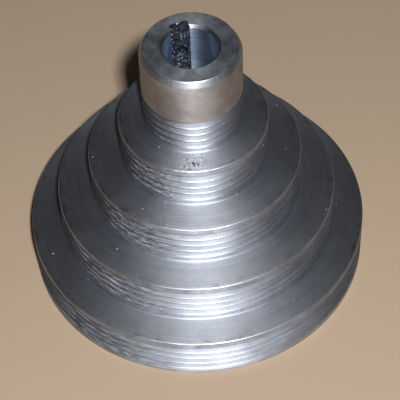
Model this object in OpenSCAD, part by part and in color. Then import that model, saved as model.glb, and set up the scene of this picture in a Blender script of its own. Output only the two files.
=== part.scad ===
// Built-up step pulley for a ribbed belt: four turned rings are stacked on a keyed hub sleeve and
// clamped against its shoulder by a slotted nut. Millimetres, +Z up the bore, origin at the centre
// of the base face, +Y towards the shaft keyway.

/* [Belt grooves] */
// Distance from one groove to the next
groove_pitch = 2.34; // [2.3:0.01:2.4]
// Grooves on each step
groove_count = 4; // [3:1:4]
// Angle between the two flanks of a groove
groove_angle = 40; // [38:1:42]
// Plain land above and below the grooves
land_w = 1.8; // [1.6:0.1:2.2]
// Radius on the crest of a rib
crest_r = 0.2; // [0.15:0.05:0.25]
// Radius in the bottom of a groove
root_r = 0.4; // [0.3:0.05:0.4]

/* [Steps] */
// Outer diameter of the hub and of the first step, cut in it
hub_d = 26; // [26:0.5:28]
// Outer diameter of the second step
second_d = 39.1; // [38:0.1:41]
// Outer diameter of the third step
third_d = 56.4; // [55:0.1:58]
// Outer diameter of the fourth step
fourth_d = 74.7; // [73:0.1:76]
// Outer diameter of the base step
base_d = 91.4; // [90:0.1:95]
// Chamfer on the upper rim of each ring
rim_break = 0.3; // [0.2:0.05:0.4]
// Height of the raised seat that the next ring stands on, and its corner radius
seat_h = 0.5; // [0.4:0.1:0.6]

/* [Hub] */
// Plain nose above the first step
nose_h = 12.2; // [11:0.2:14]
// Shaft bore
bore_d = 14; // [12:1:14]
// Chamfer at both ends of the bore
bore_chamfer = 0.7; // [0.5:0.1:0.8]
// Width of the keyway for the shaft key
keyway_w = 5; // [4:1:5]
// Depth of that keyway beyond the bore wall
keyway_h = 2.3; // [1.8:0.1:2.3]
// Chamfer on the nose, across the face
nose_chamfer_w = 1; // [0.8:0.1:1.2]
// Chamfer on the nose, along the axis
nose_chamfer_h = 1.8; // [1.4:0.1:2]

/* [Stack] */
// Outer diameter of the sleeve that carries the rings
sleeve_d = 22; // [22:0.1:22.4]
// Radial gap between pieces that slide together
fit_gap = 0.02; // [0.01:0.01:0.03]
// Width and height of the key between the sleeve and the rings
ring_key_w = 4; // [3:1:4]
// Diameter of the recess under the base
recess_d = 46; // [44:1:50]
// Depth of that recess
recess_h = 7.5; // [7.4:0.1:8]
// Outer diameter of the slotted nut
nut_d = 34; // [32:1:36]
// Thickness of the slotted nut
nut_h = 5.5; // [5:0.1:5.5]
// Thickness of the tab washer
washer_h = 1.2; // [1:0.1:1.3]

/* [Grub screws] */
// Thread diameter of both grub screws, drawn as a plain cylinder
grub_d = 4.9; // [3.9:0.1:4.9]
// Length of the screw that bears on the shaft key
key_grub_l = 4; // [3.5:0.5:4]
// Length of the screw that bears on the shaft
side_grub_l = 5; // [4:0.5:5]
// Width across the flats of the hex socket
grub_socket = 2.5; // [2:0.5:2.5]

/* [Hidden] */
$fn = 180;
arc_steps = 4;                       // straight parts along each small arc of an outline
over = 1;                            // how far a cutter runs past the face that it cuts

flank = groove_angle / 2;
groove_h = (groove_pitch / 2 * cos(flank) - crest_r - root_r) / sin(flank) + crest_r + root_r;
step_h = groove_count * groove_pitch + 2 * land_w;
total_h = 5 * step_h + nose_h;
seam_break = 0.12;                   // chamfer on the lower rim of each ring, the seam's fine line

sleeve_end = 0.4;                    // the sleeve's lower end, just above the base face
thread_d = sleeve_d - 0.65;          // pitch diameter of the one-millimetre thread under the nut
thread_top = recess_h + 1;           // the thread runs just past the washer
nut_z = recess_h - washer_h - nut_h;
nut_slot_w = 4;
nut_slot_h = 2;
slot_floor_r = nut_d / 2 - nut_slot_h;

key_slot_r = sleeve_d / 2 - 2.5;     // floor of the slot in the sleeve
key_top_gap = 0.3;                   // air between the key and the floor of the rings' slots
key_z = recess_h + 0.7;
key_l = 42;
ring_slot_r = key_slot_r + ring_key_w + key_top_gap;

washer_r = slot_floor_r + 1.6;       // round body of the washer
tab_r = washer_r + 3.4;              // reach of its flat tabs
tab_w = nut_slot_w - 0.3;
tab_count = 9;                       // one of them is bent down into a slot of the nut

grub_gap = 0.05;                     // radial clearance of a grub screw in its hole
grub_z = total_h - 11;
grub_chamfer = 0.35;
grub_socket_h = 2;
hole_mouth = 0.35;                   // countersink at the mouth of a screw hole
shaft_key_r = bore_d / 2 + keyway_h - 0.3;   // top of the shaft key that the first screw bears on

// Points along an arc about [x, y], from angle a0 to angle a1
function arc(x, y, r, a0, a1, n = arc_steps) =
    [for (i = [0:n]) let (a = a0 + (a1 - a0) * i / n) [x + r * cos(a), y + r * sin(a)]];

// One groove from the crest above it to the crest below it, centred at height z
function groove(r, z) = concat(
    arc(r - crest_r, z + groove_pitch / 2, crest_r, 0, flank - 90, 2),
    arc(r - groove_h + root_r, z, root_r, 90 + flank, 270 - flank),
    arc(r - crest_r, z - groove_pitch / 2, crest_r, 90 - flank, 0, 2));

// All grooves of a step of radius r whose upper edge is at height z, from the top down
function grooves(r, z) =
    [for (i = [0:groove_count - 1]) each groove(r, z - land_w - (i + 0.5) * groove_pitch)];

// Outline of a ring between z0 and z1, with a seat of radius seat_r on top and a recess beneath
function ring_outline(r, z0, z1, seat_r, foot_r, foot_h) = concat(
    [[sleeve_d / 2 + fit_gap, z0 + foot_h], [sleeve_d / 2 + fit_gap, z1 + seat_h]],
    arc(seat_r + seat_h, z1 + seat_h, seat_h, 180, 270),
    [[r - rim_break, z1], [r, z1 - rim_break]],
    grooves(r, z1),
    [[r, z0 + seam_break], [r - seam_break, z0]],
    foot_h > 0 ? [[foot_r, z0], [foot_r, z0 + foot_h]] : []);

// A ring for one step; level 0 is the base, and each ring above stands on the seat below it
module step_ring(d, level, next_d) {
    z0 = level == 0 ? 0 : level * step_h + seat_h;
    z1 = (level + 1) * step_h;
    difference() {
        rotate_extrude()
            polygon(ring_outline(d / 2, z0, z1, next_d / 2, recess_d / 2, level == 0 ? recess_h : 0));
        translate([-ring_key_w / 2 - fit_gap, -ring_slot_r, z0 - over])
            cube([ring_key_w + 2 * fit_gap, ring_slot_r, z1 - z0 + seat_h + 2 * over]);
    }
}

function hub_outline() = concat(
    [[bore_d / 2 + bore_chamfer, sleeve_end], [bore_d / 2, sleeve_end + bore_chamfer],
     [bore_d / 2, total_h - bore_chamfer], [bore_d / 2 + bore_chamfer, total_h],
     [hub_d / 2 - nose_chamfer_w, total_h], [hub_d / 2, total_h - nose_chamfer_h]],
    grooves(hub_d / 2, 5 * step_h),
    [[hub_d / 2, 4 * step_h + seat_h + seam_break], [hub_d / 2 - seam_break, 4 * step_h + seat_h],
     [sleeve_d / 2, 4 * step_h + seat_h], [sleeve_d / 2, thread_top],
     [thread_d / 2, thread_top], [thread_d / 2, sleeve_end + bore_chamfer],
     [thread_d / 2 - bore_chamfer, sleeve_end]]);

// A tapped hole along +Y, from the middle of the bore out through the nose
module grub_hole() {
    hole_r = grub_d / 2 + grub_gap;
    translate([0, 0, grub_z]) rotate([-90, 0, 0]) {
        cylinder(h = hub_d, r = hole_r, $fn = 48);
        translate([0, 0, hub_d / 2 - 2 * hole_mouth])
            cylinder(h = 4 * hole_mouth, r1 = hole_r - hole_mouth, r2 = hole_r + 3 * hole_mouth, $fn = 48);
    }
}

module hub_sleeve() {
    color("#b4b8bd") difference() {
        rotate_extrude() polygon(hub_outline());
        translate([-keyway_w / 2, 0, -over])
            cube([keyway_w, bore_d / 2 + keyway_h, total_h + 2 * over]);
        translate([-ring_key_w / 2, -sleeve_d, sleeve_end - over])
            cube([ring_key_w, sleeve_d - key_slot_r, key_z + key_l - sleeve_end + over]);
        grub_hole();
        rotate([0, 0, -90]) grub_hole();
    }
}

module second_step_ring() { color("#aeb2b8") step_ring(second_d, 3, hub_d); }

module third_step_ring() { color("#a9adb4") step_ring(third_d, 2, second_d); }

module fourth_step_ring() { color("#a4a9b0") step_ring(fourth_d, 1, third_d); }

module base_step_ring() { color("#a0a5ac") step_ring(base_d, 0, fourth_d); }

// Square key that makes the rings turn with the sleeve
module ring_key() {
    w = ring_key_w - 2 * fit_gap;
    color("#8f949a") translate([-w / 2, -key_slot_r - ring_key_w, key_z]) cube([w, ring_key_w, key_l]);
}

// Washer with flat tabs, an inner tongue in the sleeve's slot and one tab bent into the nut
module tab_washer() {
    inner_r = sleeve_d / 2 + 0.1;
    tongue_w = ring_key_w - 0.3;
    color("#9a9c98") {
        translate([0, 0, recess_h - washer_h]) linear_extrude(washer_h) {
            difference() {
                union() {
                    circle(r = washer_r);
                    for (i = [1:tab_count - 1]) rotate(i * 360 / tab_count)
                        translate([0, -tab_w / 2]) square([tab_r, tab_w]);
                }
                circle(r = inner_r);
            }
            translate([-tongue_w / 2, -inner_r - over]) square([tongue_w, inner_r + over - key_slot_r - 0.3]);
        }
        translate([washer_r - washer_h, -tab_w / 2, nut_z + 2])
            cube([washer_h, tab_w, recess_h - washer_h - nut_z - 2 + washer_h / 2]);
    }
}

// Round nut with four spanner slots
module lock_nut() {
    chamfer = 0.5;
    hole_r = thread_d / 2 + fit_gap;
    color("#8b8e92") difference() {
        rotate_extrude() polygon([
            [hole_r, nut_z + chamfer], [hole_r + chamfer, nut_z],
            [nut_d / 2 - chamfer, nut_z], [nut_d / 2, nut_z + chamfer],
            [nut_d / 2, nut_z + nut_h - chamfer], [nut_d / 2 - chamfer, nut_z + nut_h],
            [hole_r, nut_z + nut_h]]);
        for (i = [0:3]) rotate(i * 90)
            translate([slot_floor_r, -nut_slot_w / 2, nut_z - over])
                cube([nut_slot_h + over, nut_slot_w, nut_h + 2 * over]);
    }
}

// Hex socket grub screw along +Y with its tip at radius tip_r
module grub_screw(tip_r, l) {
    translate([0, tip_r, grub_z]) rotate([-90, 0, 0]) difference() {
        rotate_extrude($fn = 48) polygon([
            [0, 0], [grub_d / 2 - grub_chamfer, 0], [grub_d / 2, grub_chamfer],
            [grub_d / 2, l - grub_chamfer], [grub_d / 2 - grub_chamfer, l], [0, l]]);
        translate([0, 0, l - grub_socket_h])
            cylinder(h = grub_socket_h + over, d = grub_socket / cos(30), $fn = 6);
    }
}

module key_grub_screw() { color("#3b3c3f") grub_screw(shaft_key_r, key_grub_l); }

module side_grub_screw() { color("#3b3c3f") rotate([0, 0, -90]) grub_screw(bore_d / 2 + 0.05, side_grub_l); }

hub_sleeve();
second_step_ring();
third_step_ring();
fourth_step_ring();
base_step_ring();
ring_key();
tab_washer();
lock_nut();
key_grub_screw();
side_grub_screw();
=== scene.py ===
import math

import bmesh
import bpy
import numpy as np
from mathutils import Matrix, Vector


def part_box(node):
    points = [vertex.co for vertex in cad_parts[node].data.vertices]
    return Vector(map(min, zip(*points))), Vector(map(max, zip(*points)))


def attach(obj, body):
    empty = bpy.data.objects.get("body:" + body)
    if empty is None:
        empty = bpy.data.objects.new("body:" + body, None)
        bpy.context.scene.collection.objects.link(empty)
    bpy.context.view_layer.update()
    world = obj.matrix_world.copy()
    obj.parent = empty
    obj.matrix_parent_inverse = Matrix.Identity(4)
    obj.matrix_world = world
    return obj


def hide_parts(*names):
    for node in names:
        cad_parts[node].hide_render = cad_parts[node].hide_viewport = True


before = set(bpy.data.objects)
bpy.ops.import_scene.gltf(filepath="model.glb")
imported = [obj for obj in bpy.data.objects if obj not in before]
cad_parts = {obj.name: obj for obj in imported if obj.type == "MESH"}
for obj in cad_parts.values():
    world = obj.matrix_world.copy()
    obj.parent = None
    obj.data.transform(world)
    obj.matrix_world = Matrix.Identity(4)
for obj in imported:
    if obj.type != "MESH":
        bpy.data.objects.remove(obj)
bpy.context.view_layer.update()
mm = 0.001
half = math.pi / 2
wearReach = 1.1  # mm from a rim
scene = bpy.context.scene
print("frame loaded:", ", ".join(sorted(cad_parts)))


# A lathe outline is a list of rows (radius, height, finish) in mm, and each number may vary with the angle.

def arc(r, z, radius, start, end, steps):  # points on an arc of the outline, angles in degrees
    return [(r + radius * math.cos(a), z + radius * math.sin(a))
            for a in np.radians(np.linspace(start, end, steps + 1))]


def between(a, b, steps):  # points from a to b, without a and b
    return [(a[0] + (b[0] - a[0]) * i / steps, a[1] + (b[1] - a[1]) * i / steps) for i in range(1, steps)]


def named(points, finish):
    return [(r, z, finish) for r, z in points]


def smoothNoise(rng, shape, lengths):  # noise from -1 to 1, blurred over so many cells along each side
    noise = rng.standard_normal(shape)
    for side, length in enumerate(lengths):
        keep = np.exp(-2 * (math.pi * np.fft.fftfreq(shape[side]) * length / 2) ** 2)
        keep = keep.reshape([-1 if s == side else 1 for s in range(len(shape))])
        noise = np.real(np.fft.ifft(np.fft.fft(noise, axis=side) * keep, axis=side))
    return noise / np.abs(noise).max()


def around(count, dense=()):  # angles all round, and closer ones between each pair (from, to, step) in degrees
    angles = [np.arange(count) * 2 * math.pi / count]
    angles += [np.radians(np.arange(a, b, step)) % (2 * math.pi) for a, b, step in dense]
    angles = np.sort(np.concatenate(angles))
    return angles[np.diff(np.append(angles, angles[0] + 2 * math.pi)) > 5e-4]


def slotRadius(angles, towards, halfWidth, floor, soft):  # how far a keyway reaches from the axis at each angle
    off = (angles - towards + math.pi) % (2 * math.pi) - math.pi
    ahead = np.abs(off) < half * 0.9
    side = np.where(ahead, halfWidth / np.maximum(np.abs(np.sin(off)), 1e-3), 0)
    back = np.where(ahead, floor / np.maximum(np.cos(off), 1e-2), 0)
    blend = np.clip(0.5 + 0.5 * (back - side) / soft, 0, 1)
    return back * (1 - blend) + side * blend - soft * blend * (1 - blend)


def dents(angles, seed, count, deep, wide):  # knocks along a rim, as a depth at each angle; wide in radians
    rng = np.random.default_rng(seed)
    depth = np.zeros(len(angles))
    for place, size, spread in zip(rng.uniform(0, 2 * math.pi, count), rng.uniform(0.3, 1, count),
                                   rng.uniform(0.4, 1, count)):
        off = (angles - place + math.pi) % (2 * math.pi) - math.pi
        depth += deep * size * np.exp(-0.5 * (off / (wide * spread)) ** 2)
    return depth


def addPiece(name, mesh, slotName, body, *nodes):
    piece = bpy.data.objects.new(name, mesh)
    scene.collection.objects.link(piece)
    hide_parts(*nodes)
    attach(piece, body)
    return piece


def shadeByAngle(mesh, degrees):  # smooth, with crisp corners from so many degrees
    mesh.polygons.foreach_set("use_smooth", np.ones(len(mesh.polygons), bool))
    mesh.set_sharp_from_angle(angle=math.radians(degrees))
    mesh.update()


def turnedMesh(name, rows, angles, finishes, closed=True):
    count, last = len(angles), len(rows)
    radius = np.array([np.broadcast_to(np.asarray(row[0], float), count) for row in rows])
    height = np.array([np.broadcast_to(np.asarray(row[1], float), count) for row in rows])
    points = np.stack([radius * np.cos(angles), radius * np.sin(angles), height], -1).reshape(-1, 3) * mm
    first = np.arange(last if closed else last - 1)
    k, i = np.meshgrid(first, np.arange(count), indexing="ij")
    k2, i2 = (k + 1) % last, (i + 1) % count
    faces = np.stack([k * count + i, k2 * count + i, k2 * count + i2, k * count + i2], -1).reshape(-1, 4)
    mesh = bpy.data.meshes.new(name)
    mesh.from_pydata(points.tolist(), [], faces.tolist())
    names = list(dict.fromkeys(row[2] for row in rows))
    for finish in names:
        mesh.materials.append(finishes[finish])
    mesh.polygons.foreach_set("material_index", np.repeat([names.index(rows[f][2]) for f in first], count))
    # how near each point lies to a rim, along the outline: edges are handled and wear first
    line = np.stack([np.median(radius, 1), np.median(height, 1)], -1)
    along = np.concatenate([[0], np.cumsum(np.linalg.norm(np.diff(line, axis=0), axis=1))])
    rims = [along[n] for n, row in enumerate(rows) if row[2] == "rim"] or [1e6]
    near = np.exp(-np.abs(along[:, None] - np.array(rims)[None, :]).min(1) / wearReach)
    mesh.attributes.new("wear", "FLOAT", "POINT").data.foreach_set("value", np.repeat(near, count).astype(np.float32))
    shadeByAngle(mesh, 40)
    return mesh


# Small helpers for materials.

def linear(code):  # sRGB hex to linear red, green, blue, alpha
    parts = [int(code[i:i + 2], 16) / 255 for i in (1, 3, 5)]
    return tuple(c / 12.92 if c <= 0.04045 else ((c + 0.055) / 1.055) ** 2.4 for c in parts) + (1.0,)


def addNode(tree, kind, inputs=None, stops=(), **settings):  # one node with its settings, stops, values and links
    node = tree.nodes.new("ShaderNode" + kind)
    for setting, value in settings.items():
        setattr(node, setting, value)
    while stops and len(node.color_ramp.elements) < len(stops):
        node.color_ramp.elements.new(0.5)
    for i, (position, colour) in enumerate(stops):
        node.color_ramp.elements[i].position = position
        node.color_ramp.elements[i].color = linear(colour)
    for socket, value in (inputs or {}).items():
        if isinstance(value, bpy.types.NodeSocket):
            tree.links.new(value, node.inputs[socket])
        else:
            node.inputs[socket].default_value = linear(value) if isinstance(value, str) else value
    return node


def emptyMaterial(name):
    material = bpy.data.materials.new(name)
    material.use_nodes = True
    material.node_tree.nodes.clear()
    return material, material.node_tree


def specks(tree, place, gap, share, size):  # a few round specks, on average gap mm apart, with random sizes
    cells = addNode(tree, "TexVoronoi", {"Vector": place, "Scale": 1 / (gap * mm)})
    picked = addNode(tree, "SeparateColor", {0: cells.outputs["Color"]}).outputs[0]
    reach = addNode(tree, "MapRange", {"Value": picked, "From Min": 1 - share, "From Max": 1.0,
                                       "To Min": 0.0, "To Max": size / gap}).outputs[0]
    return addNode(tree, "Math", {0: cells.outputs["Distance"], 1: reach}, operation="LESS_THAN").outputs[0]


def covered(tree, colour, covers):  # colour under covers of (pattern, start, full, share, shade)
    for pattern, start, full, share, shade in covers:
        shown = addNode(tree, "MapRange", {"Value": pattern, "From Min": start, "From Max": full,
                                           "To Max": share}).outputs[0]
        colour = addNode(tree, "Mix", {0: shown, 6: colour, 7: shade}, data_type="RGBA").outputs[2]
    return colour


def relief(tree, depths):  # a bump from (pattern, depth in mm)
    deep = 0.0
    for pattern, depth in depths:
        deep = addNode(tree, "Math", {0: pattern, 1: depth, 2: deep}, operation="MULTIPLY_ADD").outputs[0]
    return addNode(tree, "Bump", {"Height": deep, "Strength": 1.0, "Distance": mm}).outputs[0]


# Bare mild steel, machined on a lathe. The tool leaves fine rings all the way round, so a lamp is drawn
# out across them into one long streak, and the surface beside the streak stays dark grey.
steel = {
    "dark": "#9ea0a4", "colour": "#a7a9ad", "light": "#aeb0b4",  # soft stains
    "line": None,  # colour of the turning rings and grain, or None for the dark stain's
    "streak": 0.66, "rough": 0.6, "roughStains": 0.03,
    "feed": 0.45, "feedTone": 0.22, "feedDepth": 0.004,  # real feed is 0.1 to 0.2 mm, drawn coarser to show
    "chip": 0.32, "chipTurn": 11.0, "chipDepth": 0.01,  # chip in mm across the rings, chipTurn per radian
    "tornAt": -147, "tornWide": 31,  # degrees; the form tool chattered here and tore the steel
    "torn": 0.0, "tornDepth": 0.05, "tornTone": 0.0,
    "flakeGlint": "#cfd1d6", "flakeRough": 1.0,  # torn metal, painted lighter as painted glints, and rough so it scatters the light every way
    "stain": 8.0, "grain": 0.5, "grainDepth": 0.014, "grainTone": 0.3,
    "rust": "#75583f", "rustSize": 5.0, "rustFrom": 0.47, "rustTone": 0.0, "rustRim": 0.8,
    "pitGap": 2.4, "pitShare": 0.06, "pitSize": 0.16, "pit": "#2b2927", "pitDepth": -0.04,
    # bright non-metal specks: painted glints, standing in for pit edges that catch the lamp
    "glintSpeckGap": 2.0, "glintSpeckShare": 0.22, "glintSpeckSize": 0.18, "glintSpeck": "#c9cac8",
    "patchAt": None, "patchWide": 4.4, "patchGap": 0.56, "patchShare": 1.0, "patchSize": 0.33,
}


def latheSteel(name, look):
    look = {**steel, **look}
    line = look["line"] or look["dark"]
    material, tree = emptyMaterial(name)
    place = addNode(tree, "TexCoord").outputs["Object"]
    height = addNode(tree, "SeparateXYZ", {0: place}).outputs["Z"]
    flat = addNode(tree, "VectorMath", {0: place, 1: (1, 1, 0)}, operation="MULTIPLY").outputs[0]
    radius = addNode(tree, "VectorMath", {0: flat}, operation="LENGTH").outputs["Value"]
    direction = addNode(tree, "VectorMath", {0: flat}, operation="NORMALIZE").outputs[0]

    def ringPattern(across, turn, detail):  # noise drawn out round the pulley, across in mm
        steps = [addNode(tree, "Math", {0: value, 1: 1 / (across * mm)}, operation="MULTIPLY").outputs[0]
                 for value in (radius, height)]
        out = addNode(tree, "CombineXYZ", {"Z": steps[0]}).outputs[0]
        where = addNode(tree, "VectorMath", {0: direction, 1: (turn, turn, 0), 2: out},
                        operation="MULTIPLY_ADD").outputs[0]
        return addNode(tree, "TexNoise", {"Vector": where, "W": steps[1], "Scale": 1.0, "Detail": detail,
                                          "Roughness": 0.6}, noise_dimensions="4D").outputs["Fac"]

    rings = ringPattern(look["feed"], 0.35, 3.0)
    chips = ringPattern(look["chip"], look["chipTurn"], 2.0)
    stains, grain, rust = [addNode(tree, "TexNoise", {"Vector": place, "Scale": 1 / (size * mm), "Detail": detail,
                                                      "Roughness": roughness}).outputs["Fac"]
                           for size, detail, roughness in ((look["stain"], 5.0, 0.6), (look["grain"], 3.0, 0.7),
                                                           (look["rustSize"], 6.0, 0.7))]
    pits = specks(tree, place, look["pitGap"], look["pitShare"], look["pitSize"])
    # bright specks painted in as painted glints
    glintSpeck = specks(tree, place, look["glintSpeckGap"], look["glintSpeckShare"], look["glintSpeckSize"])
    wear = addNode(tree, "Attribute", attribute_name="wear").outputs["Fac"]
    rustTone = addNode(tree, "Math", {0: wear, 1: look["rustRim"], 2: look["rustTone"]},
                       operation="MULTIPLY_ADD").outputs[0]
    towards = math.radians(look["tornAt"])
    facing = addNode(tree, "VectorMath", {0: direction, 1: (math.cos(towards), math.sin(towards), 0)},
                     operation="DOT_PRODUCT").outputs["Value"]
    torn = addNode(tree, "MapRange", {"Value": facing, "From Min": math.cos(math.radians(look["tornWide"])),
                                      "From Max": math.cos(math.radians(look["tornWide"] * 0.5)),
                                      "To Max": look["torn"]}).outputs[0]
    flakeGlints = addNode(tree, "MapRange", {"Value": chips, "From Min": 0.5, "From Max": 0.6, "To Max": torn}).outputs[0]
    tornDepth = addNode(tree, "Math", {0: torn, 1: look["tornDepth"], 2: look["chipDepth"]},
                        operation="MULTIPLY_ADD").outputs[0]
    if look["patchAt"]:  # a spot where rust has eaten small pits, with bright dots beside them painted in as painted glints
        away = addNode(tree, "VectorMath", {0: place, 1: look["patchAt"]}, operation="DISTANCE").outputs["Value"]
        patch = addNode(tree, "MapRange", {"Value": away, "From Min": look["patchWide"] * mm,
                                           "From Max": 0.0}).outputs[0]
        beside = addNode(tree, "VectorMath", {0: place, 1: (0.3, 0.2, 0.1)}, operation="ADD").outputs[0]
        for spot in (place, beside):
            dots = specks(tree, spot, look["patchGap"], look["patchShare"], look["patchSize"])
            dots = addNode(tree, "Math", {0: dots, 1: patch}, operation="MULTIPLY").outputs[0]
            under = pits if spot is place else flakeGlints
            both = addNode(tree, "Math", {0: dots, 1: under}, operation="MAXIMUM").outputs[0]
            pits, flakeGlints = (both, flakeGlints) if spot is place else (pits, both)

    colour = addNode(tree, "ValToRGB", {0: stains}, [(0.3, look["dark"]), (0.5, look["colour"]),
                                                     (0.7, look["light"])]).outputs[0]
    colour = covered(tree, colour, [
        (rings, 0.35, 0.7, look["feedTone"], line), (grain, 0.4, 0.75, look["grainTone"], line),
        (rust, look["rustFrom"], look["rustFrom"] + 0.22, rustTone, look["rust"]),
        (torn, 0.0, 1.0, look["tornTone"], line), (flakeGlints, 0.0, 1.0, 1.0, look["flakeGlint"]),
        (pits, 0.0, 1.0, 1.0, look["pit"]), (glintSpeck, 0.0, 1.0, 1.0, look["glintSpeck"])])
    bare = addNode(tree, "Math", {0: 1.0, 1: glintSpeck}, operation="SUBTRACT").outputs[0]
    rough = addNode(tree, "Math", {0: stains, 1: look["roughStains"], 2: look["rough"] - look["roughStains"] / 2},
                    operation="MULTIPLY_ADD").outputs[0]
    rough = addNode(tree, "MapRange", {"Value": flakeGlints, "To Min": rough, "To Max": look["flakeRough"]}).outputs[0]
    bump = relief(tree, [(rings, look["feedDepth"]), (chips, tornDepth), (grain, look["grainDepth"]),
                         (pits, look["pitDepth"])])
    tangent = addNode(tree, "Tangent", direction_type="RADIAL", axis="Z").outputs[0]
    shader = addNode(tree, "BsdfPrincipled", {"Base Color": colour, "Metallic": bare, "Roughness": rough,
                                              "Anisotropic": look["streak"], "Anisotropic Rotation": 0.25,
                                              "Normal": bump, "Tangent": tangent})
    addNode(tree, "OutputMaterial", {"Surface": shader.outputs[0]})
    return material


facedLook = {"dark": "#a7a9ad", "colour": "#b0b2b6", "light": "#b7b9bd", "line": "#74777d", "feed": 0.5,
             "feedTone": 0.36, "grain": 0.4, "grainTone": 0.4, "grainDepth": 0.02}
pitted = {"radius": 16.5, "turn": math.radians(-111), "below": 0.5}  # below the top of the second ring's seat
patchSpot = (pitted["radius"] * mm * math.cos(pitted["turn"]), pitted["radius"] * mm * math.sin(pitted["turn"]),
             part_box("second_step_ring")[1].z - pitted["below"] * mm)
# crest colours are painted near white, a painted highlight
grooveCrest = {"dark": "#cccfd4", "colour": "#dee0e5", "light": "#eaecf0", "line": "#55575d", "rough": 0.5,
               "streak": 0.86, "rustTone": 0.1, "chip": 0.13, "chipTurn": 15.0, "chipDepth": 0.02,
               "feed": 0.3, "feedTone": 0.3, "grainTone": 0.2, "tornTone": 0.36, "flakeGlint": "#dadce0"}
grooveFlank = {**grooveCrest, "dark": "#8e9197", "colour": "#a3a6ac", "light": "#b2b5bb", "rough": 0.59,
               "streak": 0.54}
finishes = {
    # faced with a fine feed, then darkened by years of handling
    "faced": latheSteel("mild steel, faced", facedLook),
    # the same, with one spot pitted by rust
    "pitted": latheSteel("mild steel, faced, one pitted spot", {**facedLook, "patchAt": patchSpot}),
    # end face of the nose: rubbed and stained by many hands, so its rings have nearly gone
    "nose": latheSteel("mild steel, faced and worn", {
        "dark": "#6c6f73", "colour": "#898c8f", "light": "#a2a5a7", "streak": 0.35, "rough": 0.66, "stain": 3.0,
        "feedTone": 0.1, "grainTone": 0.35, "grainDepth": 0.012, "rustTone": 0.2, "rust": "#6c665c"}),
    # lands and nose: turned smooth; the warm tint is a painted reflection of the wooden floor
    "turned": latheSteel("mild steel, turned, painted floor reflection", {
        "dark": "#97918d", "colour": "#adaaa9", "light": "#c0bfc0", "rough": 0.56, "streak": 0.66,
        "rustFrom": 0.42, "rustTone": 0.18, "rustRim": 0.1, "rust": "#8c6a50", "feedTone": 0.3}),
    # plain lands beside the grooves: turned, duller where the belt's edge has left rust and rubber
    "land": latheSteel("mild steel, turned land", {
        "dark": "#9297a0", "colour": "#adb2bc", "light": "#c6cad2", "rough": 0.6, "streak": 0.76, "feed": 0.35,
        "rust": "#80604a", "rustFrom": 0.46, "rustTone": 0.4, "rustRim": 0.2, "rustSize": 3.0, "feedTone": 0.35,
        "chipDepth": 0.03, "torn": 0.25}),
    # V grooves cut with a form tool: crests that belts have rubbed smooth, painted near white as a painted highlight,
    # and duller flanks, which stay grey further round; both are torn where the tool chattered
    "crest": latheSteel("mild steel, groove crests", {**grooveCrest, "torn": 0.7}),
    "flank": latheSteel("mild steel, groove flanks", {**grooveFlank, "torn": 0.7}),
    "hubCrest": latheSteel("mild steel, groove crests, lightly torn", {**grooveCrest, "torn": 0.3}),
    "hubFlank": latheSteel("mild steel, groove flanks, lightly torn", {**grooveFlank, "torn": 0.3}),
    # bottom of the grooves: painted dark, a painted shade for the deep part of each groove
    "root": latheSteel("mild steel, groove bottom, painted shade", {
        "dark": "#3b3d42", "colour": "#4e5056", "light": "#606268", "rough": 0.6, "streak": 0.7,
        "rustTone": 0.1, "feed": 0.3, "feedTone": 0.3}),
    # edges broken with a file and rubbed smoother by hands and belts; their lighter colour is a painted highlight
    "rim": latheSteel("mild steel, filed edge", {"dark": "#9b9ea4", "colour": "#c0c3c8", "light": "#d0d3d8",
                                                 "rough": 0.44, "streak": 0.45, "rustTone": 0.1, "rustRim": 0.0}),
    # inner corner at the foot of a step, where the tool's nose dwelt and left it bright
    "corner": latheSteel("mild steel, turned corner", {"rough": 0.5, "streak": 0.5, "chipDepth": 0.03}),
    # bore: reamed, smoother than the outside, kept from rust by the shaft; its blue tint is painted light, a cool cast
    # of the light in the bore
    "bored": latheSteel("mild steel, reamed bore", {
        "dark": "#9cabc4", "colour": "#c4d4ec", "light": "#dae8fb", "line": "#58647a", "rough": 0.43, "streak": 0.76,
        "rustTone": 0.0, "rustRim": 0.0, "feed": 0.4, "feedTone": 0.4, "feedDepth": 0.002, "grainTone": 0.4}),
    # chamfered mouth of the bore: as stained as the end face, but smoother
    "mouth": latheSteel("mild steel, chamfered mouth", {
        "dark": "#75777a", "colour": "#8f9193", "light": "#a3a5a6", "streak": 0.6, "rough": 0.54, "stain": 3.0,
        "rustRim": 0.0, "feedTone": 0.2, "grainTone": 0.35}),
    # keyway: slotted and left torn, painted dark as painted shade in the recess, with many light specks painted in as
    # painted glints
    "slotted": latheSteel("mild steel, slotted, painted shade", {
        "dark": "#3a3f49", "colour": "#6c7484", "light": "#a6adbb", "streak": 0.0, "rough": 0.5, "stain": 1.2,
        "rustTone": 0.0, "rustRim": 0.0, "grain": 0.5, "grainTone": 0.6, "grainDepth": 0.3, "chipDepth": 0.05,
        "pitGap": 0.8, "pitShare": 0.2, "pitSize": 0.25, "glintSpeckGap": 0.5, "glintSpeckShare": 0.7, "glintSpeckSize": 0.18,
        "glintSpeck": "#c3c9d2"}),
}


coated = {"speckGap": 2.6, "speckShare": 0.12, "speckSize": 0.22}


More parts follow.
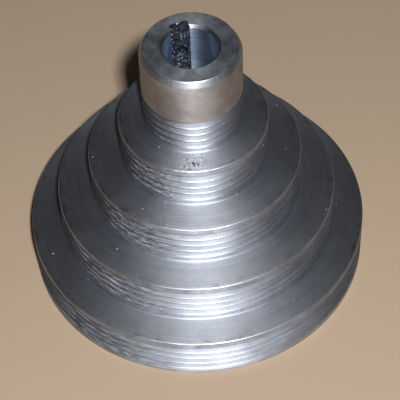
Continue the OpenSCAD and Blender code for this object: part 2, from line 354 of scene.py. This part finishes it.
def coatedSteel(name, look):  # steel with an even skin: black oxide, phosphate or a cold rolled surface
    look = {**coated, **look}
    material, tree = emptyMaterial(name)
    place = addNode(tree, "TexCoord").outputs["Object"]
    drawn = addNode(tree, "VectorMath", {0: place, 1: look["lines"]}, operation="MULTIPLY").outputs[0]
    stains, grain, lines = [addNode(tree, "TexNoise", {"Vector": spot, "Scale": 1 / (size * mm), "Detail": detail,
                                                       "Roughness": 0.65}).outputs["Fac"]
                            for spot, size, detail in ((place, look["stain"], 5.0), (place, look["grain"], 3.0),
                                                       (drawn, 1.0, 3.0))]
    colour = addNode(tree, "ValToRGB", {0: stains}, [(0.3, look["dark"]), (0.52, look["colour"]),
                                                     (0.75, look["light"])]).outputs[0]
    dirt = specks(tree, place, look["speckGap"], look["speckShare"], look["speckSize"])
    colour = covered(tree, colour, [(lines, 0.4, 0.7, look["lineTone"], look["dark"]),
                                    (dirt, 0.0, 1.0, 1.0, look["dark"])])
    rough = addNode(tree, "Math", {0: grain, 1: 0.2, 2: look["rough"] - 0.1}, operation="MULTIPLY_ADD").outputs[0]
    bump = relief(tree, [(lines, look["lineDepth"]), (grain, look["grainDepth"])])
    shader = addNode(tree, "BsdfPrincipled", {"Base Color": colour, "Metallic": 1.0, "Roughness": rough,
                                              "Normal": bump})
    addNode(tree, "OutputMaterial", {"Surface": shader.outputs[0]})
    return material


# alloy steel, blackened in hot salt: almost black, with a dull oily gloss
blackOxide = coatedSteel("alloy steel, black oxide", {
    "dark": "#131416", "colour": "#24262a", "light": "#3b3e43", "rough": 0.42, "stain": 1.6, "grain": 0.3,
    "grainDepth": 0.012, "lines": (0.4, 0.4, 3.0), "lineTone": 0.2, "lineDepth": 0.003})
# steel turned from bar and phosphated: matt dark grey, with soft blotches
phosphated = coatedSteel("carbon steel, phosphated", {
    "dark": "#3d3f41", "colour": "#56595b", "light": "#6d7072", "rough": 0.56, "stain": 5.0, "grain": 0.4,
    "grainDepth": 0.01, "lines": (0.3, 0.3, 2.0), "lineTone": 0.25, "lineDepth": 0.004})
# cold rolled strip, stamped: brighter, with straight rolling lines across it
rolledStrip = coatedSteel("cold rolled steel strip, stamped", {
    "dark": "#7c7a74", "colour": "#9c9b96", "light": "#b4b3ae", "rough": 0.4, "stain": 6.0, "grain": 0.6,
    "grainDepth": 0.005, "lines": (0.15, 3.0, 1.0), "lineTone": 0.3, "lineDepth": 0.004})
# key steel, drawn square and ground: even, with fine lines along it
keySteel = coatedSteel("drawn key steel, ground", {
    "dark": "#7d8187", "colour": "#959aa0", "light": "#a8adb3", "rough": 0.35, "stain": 7.0, "grain": 0.5,
    "grainDepth": 0.004, "lines": (4.0, 4.0, 0.2), "lineTone": 0.3, "lineDepth": 0.004})
print("materials made:", len(bpy.data.materials))


# Four V grooves of a ribbed belt between two plain lands, the same on every step.
belt = {"pitch": 2.34, "grooves": 4, "flank": 20, "land": 1.8, "crest": 0.2, "root": 0.4,
        "chatter": 0.045, "chatterAt": -151, "chatterWide": 42}
flank = math.radians(belt["flank"])
belt["depth"] = ((belt["pitch"] / 2 * math.cos(flank) - belt["crest"] - belt["root"]) / math.sin(flank)
                 + belt["crest"] + belt["root"])


def grooveRows(r, top, angles, seed):  # the grooves of one step from the top down, crest to crest
    points, parts = [], []
    crest, root, tilt = belt["crest"], belt["root"], belt["flank"]
    for i in range(belt["grooves"]):
        z = top - belt["land"] - (i + 0.5) * belt["pitch"]
        upper = arc(r - crest, z + belt["pitch"] / 2, crest, 0 if i == 0 else -15, tilt - 90, 3)
        bottom = arc(r - belt["depth"] + root, z, root, 90 + tilt, 270 - tilt, 5)
        lower = arc(r - crest, z - belt["pitch"] / 2, crest, 90 - tilt, 0, 3)
        points += upper + between(upper[-1], bottom[0], 3) + bottom + between(bottom[-1], lower[0], 3) + lower
        # the groove bottom rows take the root finish, whose dark colour is painted shade
        parts += ["crest"] * (len(upper) - 1) + ["flank"] * 3 + ["root"] * (len(bottom) - 1)
        parts += ["flank"] * 3 + ["crest"] * len(lower)
    rng = np.random.default_rng(seed)
    rough = smoothNoise(rng, (len(points), len(angles)), (1.0, 4.0))
    off = (np.degrees(angles) - belt["chatterAt"] + 180) % 360 - 180
    share = 0.06 + 0.94 * np.exp(-0.5 * (off / belt["chatterWide"] * 2) ** 2)
    return [(r0 - belt["chatter"] * share * np.clip(rough[n] + 0.25, 0, 1),
             z0 + belt["chatter"] * 0.5 * share * rough[n], parts[n]) for n, (r0, z0) in enumerate(points)]


ring = {"seat": 0.5, "rim": 0.3, "seam": 0.12, "bore": 11.02, "slotHalf": 2.02, "slotFloor": 12.8, "slotSoft": 0.2,
        "face": "faced", "knock": 0.04, "knocks": 22, "knockWide": 0.35, "recess": 0, "recessHigh": 0,
        "columns": 480, "seed": 1, "slotName": "ring_steel"}


def stepRing(name, node, look):
    low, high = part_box(node)
    r, z0, seatTop = high.x / mm, low.z / mm, high.z / mm
    seat, face, fillet, rim = look["seatRadius"], seatTop - look["seat"], look["seat"], look["rim"]
    angles = around(look["columns"], [(-90 - 12, -90 + 12, 0.5)])  # closer at the key slot
    hole = np.maximum(look["bore"], slotRadius(angles, -half, look["slotHalf"], look["slotFloor"], look["slotSoft"]))
    foot, under = look["recess"], z0 + look["recessHigh"]
    knock = dents(angles, look["seed"], look["knocks"], look["knock"], look["knockWide"] / r)
    corner = arc(seat + fillet, seatTop, fillet, 186, 270, 6)
    rows = [(hole, under, "turned"), (hole, seatTop, "faced"), (seat - 0.05, seatTop, "land")]
    rows += named(corner[:3], "land") + named(corner[3:4], "corner") + named(corner[4:6], look["face"])
    rows += named([corner[6]] + between(corner[6], (r - rim, face), 8), look["face"])
    rows += [(r - rim - 0.05 - knock, face, "rim"), (r - rim * 0.8 - knock, face - rim * 0.08 - knock * 0.3, "rim"),
             (r - rim * 0.45 - knock, face - rim * 0.3 - knock * 0.3, "rim"),
             (r - rim * 0.15 - knock * 0.8, face - rim * 0.65, "rim"),
             (r - knock * 0.5, face - rim - 0.05, "land")]
    rows += named([(r, face - belt["land"] * 0.55), (r, face - belt["land"] + 0.12)], "land")
    rows += grooveRows(r, face, angles, look["seed"])
    rows += named([(r, z0 + look["seam"] + 0.7), (r, z0 + look["seam"])], "land")
    rows += named([(r - look["seam"], z0)], "faced")
    if foot:
        rows += named([(r * 0.75 + foot * 0.25, z0), (r * 0.4 + foot * 0.6, z0), (foot + 0.4, z0)], "faced")
        rows += named([(foot + 0.38, z0), (foot, z0 + 0.4), (foot, z0 + 2.5), (foot, z0 + 5),
                       (foot, under - 0.4)], "turned")
        rows += named([(foot - 0.4, under), (foot * 0.6 + look["bore"] * 0.4, under)], "faced")
    piece = addPiece(name, turnedMesh(name, rows, angles, finishes), look["slotName"], "pulley", node)
    print("ring made:", name, len(piece.data.polygons))


nodesDown = ["hub_sleeve", "second_step_ring", "third_step_ring", "fourth_step_ring", "base_step_ring"]
ringLooks = {"secondStep": {"columns": 400, "seed": 2, "face": "pitted"}, "thirdStep": {"columns": 480, "seed": 3},
             "fourthStep": {"columns": 560, "seed": 4},
             "baseStep": {"columns": 640, "seed": 5, "recess": 23, "recessHigh": 7.5, "slotName": "base_steel"}}
for (name, look), node, above in zip(ringLooks.items(), nodesDown[1:], nodesDown):
    stepRing(name, node, {**ring, "seatRadius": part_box(above)[1].x / mm, **look})


screwHigh = sum(corner.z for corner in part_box("key_grub_screw")) / 2
hub = {"chamferWide": 1.0, "chamferHigh": 1.8, "bore": 7.0, "boreChamfer": 0.7, "keywayHalf": 2.5,
       "keywayFloor": 9.0, "keywaySoft": 1.3, "keywayRough": 0.12, "keywayTorn": 0.35, "tornTo": 0.8,
       "sleeve": 11.0, "thread": 10.675, "threadTop": 8.5, "threadChamfer": 0.7,
       "slotFloor": 8.5, "slotHalf": 2.0, "slotTop": 50.2, "seam": 0.12,
       "columns": 360, "rowStep": 0.35, "rowsTo": 22, "seed": 7, "knock": 0.02, "knocks": 26, "knockTurn": 0.02,
       "holeRadius": 2.5, "holeFrom": 5.9, "mouthFrom": 12.3, "mouthRadius": 2.15, "mouthDeep": 2.4}


def hubSleeve(look):
    low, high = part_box("hub_sleeve")
    r, z0, top = high.x / mm, low.z / mm, high.z / mm
    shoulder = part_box("second_step_ring")[1].z / mm
    stepHigh = belt["grooves"] * belt["pitch"] + 2 * belt["land"]
    angles = around(look["columns"], [(90 - 24, 90 + 24, 0.4), (-16, 16, 0.5)])  # closer at keyway and side screw
    rng = np.random.default_rng(look["seed"])
    chamfer, deepest = look["boreChamfer"], top - z0
    step, fine = look["rowStep"], look["rowsTo"]  # close rows where the bore is seen, sparse ones below
    depths = np.concatenate([np.linspace(0, chamfer, 4), np.arange(chamfer + step, fine, step),
                             np.linspace(fine + 0.5, deepest - chamfer - 1, 22),
                             deepest - np.linspace(chamfer, 0, 3)])
    walls = smoothNoise(rng, (len(depths), len(angles)), (2.0, 2.5))
    ragged = smoothNoise(rng, (len(depths), len(angles)), (2.0, 4.0))
    rows = []
    for n in range(len(depths) - 1, -1, -1):  # up the bore, so the metal lies outside the outline
        depth = depths[n]
        torn = look["keywayRough"] + look["keywayTorn"] * math.exp(-(depth / look["tornTo"]) ** 2)
        keyway = slotRadius(angles, half, look["keywayHalf"] + look["keywayRough"] * walls[n] - 0.03,
                            look["keywayFloor"] + torn * ragged[n], look["keywaySoft"])
        wall = look["bore"] + max(0, chamfer - depth, depth - deepest + chamfer)
        finish = "bored" if depth > chamfer + 0.01 else "mouth" if depth else "nose"
        rows.append((np.maximum(wall, keyway), top - depth, finish))
    knock = dents(angles, look["seed"], look["knocks"], look["knock"], look["knockTurn"])
    wide, tall = look["chamferWide"], look["chamferHigh"]
    rows += named([(r0, top) for r0 in np.linspace(look["keywayFloor"] + 0.9, r - wide - 0.3, 5)], "nose")
    edge = [(r - wide - 0.02, top), (r - wide + 0.05, top - 0.06)]
    foot = [(r - 0.09, top - tall + 0.2), (r - 0.02, top - tall + 0.04)]
    rounding = edge + between(edge[-1], foot[0], 4) + foot
    rows += [(r0 - knock, level - knock * 0.4, "rim") for r0, level in rounding]
    noseFoot = shoulder + stepHigh - 0.5
    rows += named([(r, top - tall - 0.1)], "turned")
    rows += named(between((r, top - tall - 0.1), (r, noseFoot - belt["land"] + 0.12), 14), "turned")
    rows += grooveRows(r, noseFoot, angles, look["seed"])
    rows += named([(r, shoulder + look["seam"] + 0.7), (r, shoulder + look["seam"])], "land")
    # the outer key slot is hidden inside the rings
    off = np.abs((angles + half + math.pi) % (2 * math.pi) - math.pi)
    inSlot = off < math.asin(look["slotHalf"] / look["sleeve"])
    cut = lambda full: np.where(inSlot, look["slotFloor"] / np.cos(np.where(inSlot, angles + half, 0)), full)
    rows += [(r - look["seam"], shoulder, "faced"), (look["sleeve"], shoulder, "turned"),
             (look["sleeve"], look["slotTop"], "turned"), (cut(look["sleeve"]), look["slotTop"] - 0.01, "turned"),
             (cut(look["sleeve"]), look["threadTop"], "turned"),
             (cut(look["thread"]), look["threadTop"] - 0.01, "turned"),
             (cut(look["thread"]), z0 + look["threadChamfer"], "turned"),
             (np.minimum(cut(look["thread"]), look["thread"] - look["threadChamfer"]), z0, "faced")]
    mesh = turnedMesh("hubSleeve", rows, angles,
                      {**finishes, "crest": finishes["hubCrest"], "flank": finishes["hubFlank"]})
    mesh.materials.append(finishes["slotted"])
    centres = np.empty(len(mesh.polygons) * 3)
    mesh.polygons.foreach_get("center", centres)
    x, y, z = centres.reshape(-1, 3).T / mm
    slots = np.empty(len(mesh.polygons), int)
    mesh.polygons.foreach_get("material_index", slots)
    wall = look["bore"] + np.maximum(0, chamfer - (top - z))
    inKeyway = (y > 0) & (y < look["keywayFloor"] + 1) & (np.abs(x) < look["keywayHalf"] + 0.4)
    rough = inKeyway & (np.hypot(x, y) > wall + 0.06) & (z < top - 0.01)
    slots[rough] = len(mesh.materials) - 1
    mesh.polygons.foreach_set("material_index", slots)
    piece = addPiece("hubSleeve", mesh, "hub_steel", "pulley", "hub_sleeve")
    cutHoles(piece, look)
    shadeByAngle(piece.data, 40)
    print("hub made:", len(piece.data.polygons))


def cutHoles(piece, look):  # tapped holes for the grub screws: drilled through the nose, mouths countersunk
    hole, mouth, deep = look["holeRadius"], look["mouthRadius"], look["mouthDeep"]
    outline = [(0, look["holeFrom"]), (hole, look["holeFrom"]), (hole, look["mouthFrom"] + hole - mouth),
               (mouth + deep, look["mouthFrom"] + deep), (0, look["mouthFrom"] + deep)]
    # the hole walls take the keyway's finish: painted shade with painted glints
    cutter = turnedMesh("cutter", named(outline, "slotted"), np.arange(72) * math.pi / 36, finishes, closed=False)
    merge = bmesh.new()
    merge.from_mesh(cutter)
    bmesh.ops.remove_doubles(merge, verts=merge.verts, dist=1e-7)
    bmesh.ops.recalc_face_normals(merge, faces=merge.faces)
    merge.to_mesh(cutter)
    merge.free()
    for turn in (Matrix.Rotation(-half, 4, "X"), Matrix.Rotation(half, 4, "Y")):
        tool = bpy.data.objects.new("tool", cutter.copy())
        tool.data.transform(Matrix.Translation((0, 0, screwHigh)) @ turn)
        scene.collection.objects.link(tool)
        cut = piece.modifiers.new("hole", "BOOLEAN")
        cut.operation, cut.solver, cut.object, cut.material_mode = "DIFFERENCE", "EXACT", tool, "TRANSFER"
        done = bpy.data.meshes.new_from_object(piece.evaluated_get(bpy.context.evaluated_depsgraph_get()))
        piece.modifiers.clear()
        piece.data = done
        bpy.data.objects.remove(tool)


hubSleeve(hub)


screw = {"radius": 2.45, "root": 2.05, "pitch": 0.8, "flat": 0.12, "chamfer": 0.35, "socket": 2.5,
         "socketDeep": 2.0, "cup": 0.5, "cupRadius": 1.2, "columns": 72, "grid": 0.08}


def grubScrew(name, node, body, outward, tip, length, look):  # hex socket grub screw with a cup point
    angles = around(look["columns"])
    rows = [(0.0, look["cup"]), (look["cupRadius"], 0.05), (look["cupRadius"] + 0.1, 0.0)]
    for level in np.linspace(0, length, int(length / look["grid"]) + 1):
        phase = (level / look["pitch"] - angles / (2 * math.pi)) % 1
        ridge = np.clip((1 - np.abs(2 * phase - 1) - look["flat"]) / (1 - 2 * look["flat"]), 0, 1)
        thread = look["root"] + (look["radius"] - look["root"]) * ridge
        ends = look["radius"] - look["chamfer"] - 0.15 + 1.4 * min(level, length - level)
        rows.append((np.minimum(thread, ends), level))
    hexagon = look["socket"] / 2 / np.cos((angles + math.pi / 6) % (math.pi / 3) - math.pi / 6)
    rows += [(hexagon + 0.12, length), (hexagon, length - 0.1), (hexagon, length - look["socketDeep"]),
             (look["socket"] / 2 - 0.05, length - look["socketDeep"]), (0.0, length - look["socketDeep"] - 0.6)]
    rows = [(r, level, "point" if n < 3 else "thread") for n, (r, level) in enumerate(rows)]
    # the cup point, down in its hole, takes the keyway's painted shade
    mesh = turnedMesh(name, rows, angles, {"point": finishes["slotted"], "thread": blackOxide}, closed=False)
    merge = bmesh.new()
    merge.from_mesh(mesh)
    bmesh.ops.remove_doubles(merge, verts=merge.verts, dist=1e-7)
    merge.to_mesh(mesh)
    merge.free()
    turn = Vector((0, 0, 1)).rotation_difference(Vector(outward)).to_matrix().to_4x4()
    mesh.transform(Matrix.Translation(Vector(outward) * tip * mm + Vector((0, 0, screwHigh))) @ turn)
    shadeByAngle(mesh, 35)
    addPiece(name, mesh, "screw_steel", body, node)


for name, node, body, outward, length in (("keyGrubScrew", "key_grub_screw", "key_screw", (0, 1, 0), 4.0),
                                          ("sideGrubScrew", "side_grub_screw", "side_screw", (1, 0, 0), 5.0)):
    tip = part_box(node)[0].dot(Vector(outward)) / mm
    grubScrew(name, node, body, outward, tip, length, screw)
print("grub screws made")


def turned(points, turn):  # flat points turned about the axis
    return [(x * math.cos(turn) - y * math.sin(turn), x * math.sin(turn) + y * math.cos(turn)) for x, y in points]


def plate(loops):  # flat stamped or milled plate; loops are (outer, inner, height) from below
    build = bmesh.new()
    outer = [[build.verts.new((x * mm, y * mm, z * mm)) for x, y in loop] for loop, _, z in loops]
    inner = [[build.verts.new((x * mm, y * mm, z * mm)) for x, y in loop] for _, loop, z in loops]
    for levels in (outer, inner):
        for a, b in zip(levels, levels[1:]):
            for i in range(len(a)):
                j = (i + 1) % len(a)
                build.faces.new((a[i], a[j], b[j], b[i]))
    for level in (0, -1):
        edges = [build.edges.get((loop[i], loop[(i + 1) % len(loop)])) for loop in (outer[level], inner[level])
                 for i in range(len(loop))]
        bmesh.ops.triangle_fill(build, use_beauty=True, edges=edges)
    return build, outer


nut = {"radius": 17.0, "slots": 4, "slotHalf": 2.0, "slotDeep": 2.0, "chamfer": 0.5, "holeChamfer": 0.5,
       "hole": 10.695}


def lockNut(look):
    low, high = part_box("lock_nut")
    r, z0, z1, cut = look["radius"], low.z / mm, high.z / mm, look["chamfer"]

    def outline(inset):
        points = []
        wide, floor, out = look["slotHalf"] + inset, r - look["slotDeep"] - inset, r - inset
        reach, apart = math.asin(wide / out), math.pi / look["slots"]
        for slot in range(look["slots"]):
            part = [(out * math.cos(a), out * math.sin(a)) for a in np.linspace(-apart, -reach, 16)][1:]
            part += [(x, -wide) for x in np.linspace(out * math.cos(reach), floor, 4)[1:]]
            part += [(floor, y) for y in np.linspace(-wide, wide, 6)[1:]]
            part += [(x, wide) for x in np.linspace(floor, out * math.cos(reach), 4)[1:]]
            part += [(out * math.cos(a), out * math.sin(a)) for a in np.linspace(reach, apart, 16)[1:]]
            points += turned(part, slot * 2 * math.pi / look["slots"])
        return points

    def circle(radius):
        return [(radius * math.cos(a), radius * math.sin(a)) for a in np.linspace(0, 2 * math.pi, 181)[:-1]]

    hole, wide = look["hole"], look["holeChamfer"]
    build, _ = plate([
        (outline(cut), circle(hole + wide), z0), (outline(cut * 0.35), circle(hole + wide * 0.5), z0 + cut * 0.3),
        (outline(0.0), circle(hole), z0 + cut), (outline(0.0), circle(hole), z1 - cut),
        (outline(cut * 0.35), circle(hole), z1 - cut * 0.3), (outline(cut), circle(hole), z1)])
    bmesh.ops.recalc_face_normals(build, faces=build.faces)
    mesh = bpy.data.meshes.new("lockNut")
    build.to_mesh(mesh)
    build.free()
    mesh.materials.append(phosphated)
    shadeByAngle(mesh, 30)
    addPiece("lockNut", mesh, "nut_steel", "pulley", "lock_nut")


lockNut(nut)
print("lock nut made")


washer = {"tabs": 9, "tabHalf": 1.85, "tabReach": 20.0, "corner": 0.7, "radius": 16.6, "inner": 11.1,
          "tongue": 8.8, "thick": 1.2, "bendFrom": 15.3, "bendOuter": 1.3, "bendInner": 0.1, "bendSteps": 6,
          "notch": 0.55, "notchDeep": 0.5, "tabFoot": 2.8, "edge": 0.14}


def tabWasher(look):
    z1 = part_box("tab_washer")[1].z / mm
    z0, wide, r = z1 - look["thick"], look["tabHalf"], look["radius"]
    reach = look["tabReach"] - look["corner"]
    tab = [(math.sqrt(r * r - wide * wide), -wide), (reach, -wide)]
    tab += [(x, y - wide + look["corner"]) for x, y in arc(reach, 0, look["corner"], -90, 0, 4)][1:]
    tab += [(x, -y) for x, y in reversed(tab)]
    side, back = wide + look["notch"], look["bendFrom"] - look["notchDeep"]
    bent = [(math.sqrt(r * r - side * side), -side), (back, -side), (back, -wide), (look["bendFrom"], -wide)]
    bent += [(x, -y) for x, y in reversed(bent)]
    outer = []
    for i in range(look["tabs"]):
        here, turn = (bent if i == 0 else tab), i * 2 * math.pi / look["tabs"]
        begin = turn + math.asin(-here[0][1] / r)
        end = turn + 2 * math.pi / look["tabs"] - math.asin(wide / r)
        outer += turned(here, turn)
        outer += [(r * math.cos(a), r * math.sin(a)) for a in np.linspace(begin, end, 12)[1:-1]]
    start = math.asin(wide / look["inner"])
    inner = [(look["inner"] * math.cos(a), look["inner"] * math.sin(a))
             for a in np.linspace(-half + start, 1.5 * math.pi - start, 120)]
    inner += [(-wide, -look["tongue"] - 0.3), (-wide + 0.3, -look["tongue"]), (wide - 0.3, -look["tongue"]),
              (wide, -look["tongue"] - 0.3)]
    build, outers = plate([(outer, inner, z0), (outer, inner, z1)])
    base, top = outers
    ends = [i for i, (x, y) in enumerate(outer) if abs(x - look["bendFrom"]) < 1e-6]
    a, b = ends
    build.faces.remove(build.faces.get((base[a], base[b], top[b], top[a])))
    last = [top[a], top[b], base[b], base[a]]  # the open end that the bent tab grows from
    far, near = look["bendOuter"], look["bendInner"]
    # the bend and then the tab downwards, each step as x and height outside, x and height inside
    bends = [(look["bendFrom"] + far * math.sin(t), z1 - far * (1 - math.cos(t)),
              look["bendFrom"] + near * math.sin(t), z0 - near * (1 - math.cos(t)))
             for t in np.linspace(0, half, look["bendSteps"] + 1)[1:]]
    outX, outZ, inX, _ = bends[-1]
    bends += [(outX, z, inX, z) for z in (outZ - 1.2, look["tabFoot"] + 0.5, look["tabFoot"])]
    for x1, h1, x2, h2 in bends:
        now = [build.verts.new((x * mm, y * mm, h * mm)) for x, y, h in
               ((x1, -wide, h1), (x1, wide, h1), (x2, wide, h2), (x2, -wide, h2))]
        for i in range(4):
            build.faces.new((last[i], last[(i + 1) % 4], now[(i + 1) % 4], now[i]))
        last = now
    build.faces.new(last)
    bmesh.ops.recalc_face_normals(build, faces=build.faces)
    mesh = bpy.data.meshes.new("tabWasher")
    build.to_mesh(mesh)
    build.free()
    mesh.materials.append(rolledStrip)
    piece = addPiece("tabWasher", mesh, "washer_steel", "pulley", "tab_washer")
    edge = piece.modifiers.new("stampedEdge", "BEVEL")
    edge.width, edge.segments = look["edge"] * mm, 2
    edge.limit_method, edge.angle_limit = "ANGLE", math.radians(50)
    shadeByAngle(mesh, 40)


tabWasher(washer)
print("tab washer made")

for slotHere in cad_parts["ring_key"].material_slots:  # the key's shape is right as it is
    slotHere.material = keySteel


# Floor, light and camera.
stage = {"floor": "#a89178", "floorRough": 0.6, "size": 3.0, "world": "#121315", "worldPower": 1.0}  # size in m
s = stage["size"] / 2
floorMesh = bpy.data.meshes.new("floor")
floorMesh.from_pydata([(-s, -s, 0), (s, -s, 0), (s, s, 0), (-s, s, 0)], [], [(0, 1, 2, 3)])
floor = bpy.data.objects.new("floor", floorMesh)
scene.collection.objects.link(floor)
board = bpy.data.materials.new("birch board, matt varnish")  # plain and pale, with a soft sheen only
board.use_nodes = True
board.node_tree.nodes["Principled BSDF"].inputs["Base Color"].default_value = linear(stage["floor"])
board.node_tree.nodes["Principled BSDF"].inputs["Roughness"].default_value = stage["floorRough"]
floorMesh.materials.append(board)

world = bpy.data.worlds.new("studio")
world.use_nodes = True
world.node_tree.nodes["Background"].inputs["Color"].default_value = linear(stage["world"])
world.node_tree.nodes["Background"].inputs["Strength"].default_value = stage["worldPower"]
scene.world = world

# places and sizes in metres, angles in degrees, the lens in mm
view = {"aim": (0.0, 0.0, 0.0162), "azimuth": -20.0, "elevation": 51.27, "distance": 0.4638, "roll": -2.31,
        "lens": 151.5, "aside": 0.00087}


def standAt(azimuth, elevation, distance, aim):  # a place round the pulley, azimuth 0 in front of it at -Y
    a, e = math.radians(azimuth), math.radians(elevation)
    return Vector(aim) + distance * Vector((math.sin(a) * math.cos(e), -math.cos(a) * math.cos(e), math.sin(e)))


camera = bpy.data.objects.new("camera", bpy.data.cameras.new("camera"))
scene.collection.objects.link(camera)
camera.data.lens = view["lens"]
camera.data.sensor_width = 36
camera.data.clip_start = 0.01
camera.location = standAt(view["azimuth"], view["elevation"], view["distance"], view["aim"])
lookAt = Vector(view["aim"]) + standAt(view["azimuth"] + 90, 0, view["aside"], (0, 0, 0))
turn = (lookAt - camera.location).to_track_quat("-Z", "Y").to_matrix().to_4x4()
camera.rotation_euler = (turn @ Matrix.Rotation(math.radians(view["roll"]), 4, "Z")).to_euler()
scene.camera = camera

lamps = {
    "keyLamp": {"azimuth": -14.0, "elevation": 53.0, "distance": 0.56, "size": 0.025, "watts": 5.0,
                "colour": "#f1f5fc"},
    "overhead": {"azimuth": 125.0, "elevation": 62.0, "distance": 1.1, "size": 1.2, "watts": 0.45, "colour": "#e6ebf2"},
}
for name, lamp in lamps.items():
    data = bpy.data.lights.new(name, "AREA")
    data.size, data.energy, data.color = lamp["size"], lamp["watts"], linear(lamp["colour"])[:3]
    light = bpy.data.objects.new(name, data)
    scene.collection.objects.link(light)
    light.location = standAt(lamp["azimuth"], lamp["elevation"], lamp["distance"], view["aim"])
    light.rotation_euler = (Vector(view["aim"]) - light.location).to_track_quat("-Z", "Y").to_euler()
scene.view_settings.view_transform = "Standard"
print("stage made")
